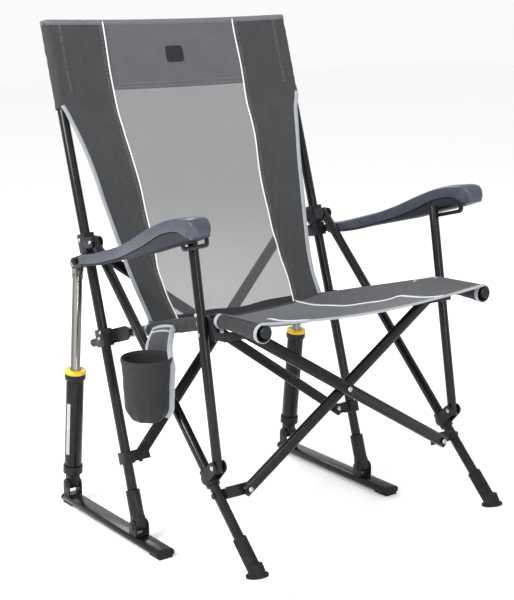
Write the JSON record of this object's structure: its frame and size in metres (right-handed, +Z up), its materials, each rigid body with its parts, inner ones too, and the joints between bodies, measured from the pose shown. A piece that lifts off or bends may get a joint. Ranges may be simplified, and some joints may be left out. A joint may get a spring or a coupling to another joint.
{
  "type": "camp rocking chair",
  "caption": "Folding camp rocking chair: a tube frame on two sprung skids, with a mesh seat and back, moulded armrests and a cup pouch.",
  "frame": {"origin": "on the ground under the middle of the whole chair, its front feet clear of the ground", "axes": "+Z up, the chair faces -Y, +X is the sitter's left"},
  "size_m": [0.786, 0.8136, 1.0896],
  "materials": {
    "frame_black": "semi-gloss powder coat",
    "bracket_black": "satin moulded nylon and painted steel",
    "moulded_slate": "matte moulded",
    "chrome": "polished",
    "ring_yellow": "satin",
    "foot_rubber": "matte",
    "spring_steel": "drawn wire",
    "fabric_grey": "woven polyester",
    "fabric_mesh": "open mesh",
    "pouch_fabric": "woven polyester"
  },
  "bodies": {
    "skid_right": {"skid_right": "frame_black", "skid_front_cap_right": "foot_rubber", "skid_rear_cap_right": "foot_rubber", "skid_front_bracket_right": "bracket_black", "skid_rear_bracket_right": "bracket_black"},
    "post_right": {"rear_post_right": "frame_black", "post_sleeve_right": "bracket_black", "arm_bracket_right": "bracket_black", "back_brace_bracket_right": "bracket_black", "back_fabric": "fabric_grey"},
    "slider_right": {"upper_slider_right": "bracket_black"},
    "leg_right": {"front_leg_right": "frame_black", "foot_right": "foot_rubber"},
    "leg_hub_right": {"leg_hub_right": "bracket_black"},
    "rail_block_right": {"rail_block_right": "bracket_black"},
    "rail_right": {"seat_rail_right": "frame_black", "seat_fabric": "fabric_mesh", "cup_pouch": "pouch_fabric"},
    "front_post_right": {"front_post_right": "frame_black", "seat_hub_right": "bracket_black"},
    "arm_right": {"armrest_right": "moulded_slate", "arm_loop_right": "bracket_black"},
    "cylinder_right": {"piston_cylinder_right": "frame_black", "piston_ring_right": "ring_yellow", "piston_fork_right": "bracket_black", "piston_spring_right": "spring_steel"},
    "rod_right": {"piston_rod_right": "chrome"},
    "swivel_right": {"brace_swivel_right": "bracket_black"},
    "front_brace_right": {"front_brace_right": "frame_black"},
    "back_brace_right": {"back_brace_right": "frame_black"},
    "skid_left": {"skid_left": "frame_black", "skid_front_cap_left": "foot_rubber", "skid_rear_cap_left": "foot_rubber", "skid_front_bracket_left": "bracket_black", "skid_rear_bracket_left": "bracket_black"},
    "post_left": {"rear_post_left": "frame_black", "post_sleeve_left": "bracket_black", "arm_bracket_left": "bracket_black", "back_brace_bracket_left": "bracket_black"},
    "slider_left": {"upper_slider_left": "bracket_black"},
    "leg_left": {"front_leg_left": "frame_black", "foot_left": "foot_rubber"},
    "leg_hub_left": {"leg_hub_left": "bracket_black"},
    "rail_block_left": {"rail_block_left": "bracket_black"},
    "rail_left": {"seat_rail_left": "frame_black"},
    "front_post_left": {"front_post_left": "frame_black", "seat_hub_left": "bracket_black"},
    "arm_left": {"armrest_left": "moulded_slate", "arm_loop_left": "bracket_black"},
    "cylinder_left": {"piston_cylinder_left": "frame_black", "piston_ring_left": "ring_yellow", "piston_fork_left": "bracket_black", "piston_spring_left": "spring_steel"},
    "rod_left": {"piston_rod_left": "chrome"},
    "swivel_left": {"brace_swivel_left": "bracket_black"},
    "front_brace_left": {"front_brace_left": "frame_black"},
    "back_brace_left": {"back_brace_left": "frame_black"}
  },
  "joints": [
    {"name": "rock", "type": "hinge", "parent": "skid_right", "child": "post_right", "pos_m": [-0.2915, 0.0544, 0.04], "axis": [-1, 0, 0], "range_deg": [-10.2, 12], "stiffness_Nm_per_rad": 120, "springref_deg": 0.87},
    {"name": "fold", "type": "slide", "parent": "post_right", "child": "post_left", "axis": [-1, 0, 0], "range_m": [0, 0.46], "deforming": ["back_fabric", "seat_fabric"]},
    {"name": "left_skid_rock", "type": "hinge", "parent": "post_left", "child": "skid_left", "pos_m": [0.3305, 0.0544, 0.04], "axis": [-1, 0, 0], "range_deg": [-12.05, 10.25]},
    {"name": "piston_swing_right", "type": "hinge", "parent": "skid_right", "child": "cylinder_right", "pos_m": [-0.2915, 0.3529, 0.047], "axis": [-1, 0, 0], "range_deg": [-9.85, 11.57]},
    {"name": "piston_slide_right", "type": "slide", "parent": "cylinder_right", "child": "rod_right", "axis": [0, -0.1186, 0.9929], "range_m": [-0.0622, 0.0529], "deforming": ["piston_spring_right"]},
    {"name": "slider_rise_right", "type": "slide", "parent": "post_right", "child": "slider_right", "axis": [0, 0.309, 0.9511], "range_m": [0, 0.24394]},
    {"name": "leg_fold_right", "type": "hinge", "parent": "slider_right", "child": "leg_right", "pos_m": [-0.2915, 0.20837, 0.63683], "axis": [1, 0, 0], "range_deg": [0, 28.91]},
    {"name": "leg_hub_rise_right", "type": "slide", "parent": "leg_right", "child": "leg_hub_right", "axis": [0, 0.7299, 0.6836], "range_m": [0, 0.28779]},
    {"name": "rail_block_rise_right", "type": "slide", "parent": "post_right", "child": "rail_block_right", "axis": [0, 0.309, 0.9511], "range_m": [0, 0.09145]},
    {"name": "rail_fold_right", "type": "hinge", "parent": "rail_block_right", "child": "rail_right", "pos_m": [-0.2915, 0.11686, 0.45196], "axis": [1, 0, 0], "range_deg": [-91.02, 0]},
    {"name": "front_post_fold_right", "type": "hinge", "parent": "rail_right", "child": "front_post_right", "pos_m": [-0.2915, -0.20364, 0.53801], "axis": [1, 0, 0], "range_deg": [0, 83.12]},
    {"name": "arm_fold_right", "type": "hinge", "parent": "post_right", "child": "arm_right", "pos_m": [-0.2915, 0.2324, 0.59496], "axis": [1, 0, 0], "range_deg": [-83.85, 0]},
    {"name": "brace_swivel_turn_right", "type": "hinge", "parent": "leg_right", "child": "swivel_right", "pos_m": [-0.2915, -0.25438, 0.20345], "axis": [1, 0, 0], "range_deg": [-35.66, 0]},
    {"name": "back_brace_turn_right", "type": "hinge", "parent": "post_right", "child": "back_brace_right", "pos_m": [-0.2505, 0.10794, 0.17791], "axis": [0, -0.9109, 0.4126], "range_deg": [0, 42.8]},
    {"name": "front_brace_turn_right", "type": "hinge", "parent": "swivel_right", "child": "front_brace_right", "pos_m": [-0.2315, -0.27802, 0.20941], "axis": [0, -0.995, 0.0995], "range_deg": [0, 53.6]},
    {"name": "piston_swing_left", "type": "hinge", "parent": "skid_left", "child": "cylinder_left", "pos_m": [0.3305, 0.3529, 0.047], "axis": [-1, 0, 0], "range_deg": [-9.85, 11.57]},
    {"name": "piston_slide_left", "type": "slide", "parent": "cylinder_left", "child": "rod_left", "axis": [0, -0.1186, 0.9929], "range_m": [-0.0622, 0.0529], "deforming": ["piston_spring_left"]},
    {"name": "slider_rise_left", "type": "slide", "parent": "post_left", "child": "slider_left", "axis": [0, 0.309, 0.9511], "range_m": [0, 0.24394]},
    {"name": "leg_fold_left", "type": "hinge", "parent": "slider_left", "child": "leg_left", "pos_m": [0.3305, 0.20837, 0.63683], "axis": [1, 0, 0], "range_deg": [0, 28.91]},
    {"name": "leg_hub_rise_left", "type": "slide", "parent": "leg_left", "child": "leg_hub_left", "axis": [0, 0.7299, 0.6836], "range_m": [0, 0.28779]},
    {"name": "rail_block_rise_left", "type": "slide", "parent": "post_left", "child": "rail_block_left", "axis": [0, 0.309, 0.9511], "range_m": [0, 0.09145]},
    {"name": "rail_fold_left", "type": "hinge", "parent": "rail_block_left", "child": "rail_left", "pos_m": [0.3305, 0.11686, 0.45196], "axis": [1, 0, 0], "range_deg": [-91.02, 0]},
    {"name": "front_post_fold_left", "type": "hinge", "parent": "rail_left", "child": "front_post_left", "pos_m": [0.3305, -0.20364, 0.53801], "axis": [1, 0, 0], "range_deg": [0, 83.12]},
    {"name": "arm_fold_left", "type": "hinge", "parent": "post_left", "child": "arm_left", "pos_m": [0.3305, 0.2324, 0.59496], "axis": [1, 0, 0], "range_deg": [-83.85, 0]},
    {"name": "brace_swivel_turn_left", "type": "hinge", "parent": "leg_left", "child": "swivel_left", "pos_m": [0.3305, -0.25438, 0.20345], "axis": [1, 0, 0], "range_deg": [-35.66, 0]},
    {"name": "back_brace_turn_left", "type": "hinge", "parent": "post_left", "child": "back_brace_left", "pos_m": [0.2895, 0.10794, 0.17791], "axis": [0, 0.9109, -0.4126], "range_deg": [0, 42.8]},
    {"name": "front_brace_turn_left", "type": "hinge", "parent": "swivel_left", "child": "front_brace_left", "pos_m": [0.2705, -0.27802, 0.20941], "axis": [0, 0.995, -0.0995], "range_deg": [0, 53.6]}
  ],
  "couplings": [
    {"joint": "left_skid_rock", "follows": "rock", "ratio": -1},
    {"joint": "piston_swing_right", "follows": "rock", "ratio": 0.96034},
    {"joint": "piston_slide_right", "follows": "rock", "m_per_rad": -0.29598},
    {"joint": "slider_rise_right", "follows": "fold", "ratio": 0.52978},
    {"joint": "leg_fold_right", "follows": "fold", "rad_per_m": 1.0956},
    {"joint": "leg_hub_rise_right", "follows": "fold", "ratio": 0.62501},
    {"joint": "rail_block_rise_right", "follows": "fold", "ratio": 0.1986},
    {"joint": "rail_fold_right", "follows": "fold", "rad_per_m": -3.4502},
    {"joint": "front_post_fold_right", "follows": "fold", "rad_per_m": 3.1505},
    {"joint": "arm_fold_right", "follows": "fold", "rad_per_m": -3.1783},
    {"joint": "brace_swivel_turn_right", "follows": "fold", "rad_per_m": -1.3515},
    {"joint": "back_brace_turn_right", "follows": "fold", "rad_per_m": 1.6223},
    {"joint": "front_brace_turn_right", "follows": "fold", "rad_per_m": 2.0317},
    {"joint": "piston_swing_left", "follows": "rock", "ratio": 0.96034},
    {"joint": "piston_slide_left", "follows": "rock", "m_per_rad": -0.29598},
    {"joint": "slider_rise_left", "follows": "fold", "ratio": 0.52978},
    {"joint": "leg_fold_left", "follows": "fold", "rad_per_m": 1.0956},
    {"joint": "leg_hub_rise_left", "follows": "fold", "ratio": 0.62501},
    {"joint": "rail_block_rise_left", "follows": "fold", "ratio": 0.1986},
    {"joint": "rail_fold_left", "follows": "fold", "rad_per_m": -3.4502},
    {"joint": "front_post_fold_left", "follows": "fold", "rad_per_m": 3.1505},
    {"joint": "arm_fold_left", "follows": "fold", "rad_per_m": -3.1783},
    {"joint": "brace_swivel_turn_left", "follows": "fold", "rad_per_m": -1.3515},
    {"joint": "back_brace_turn_left", "follows": "fold", "rad_per_m": 1.6223},
    {"joint": "front_brace_turn_left", "follows": "fold", "rad_per_m": 2.0317}
  ]
}
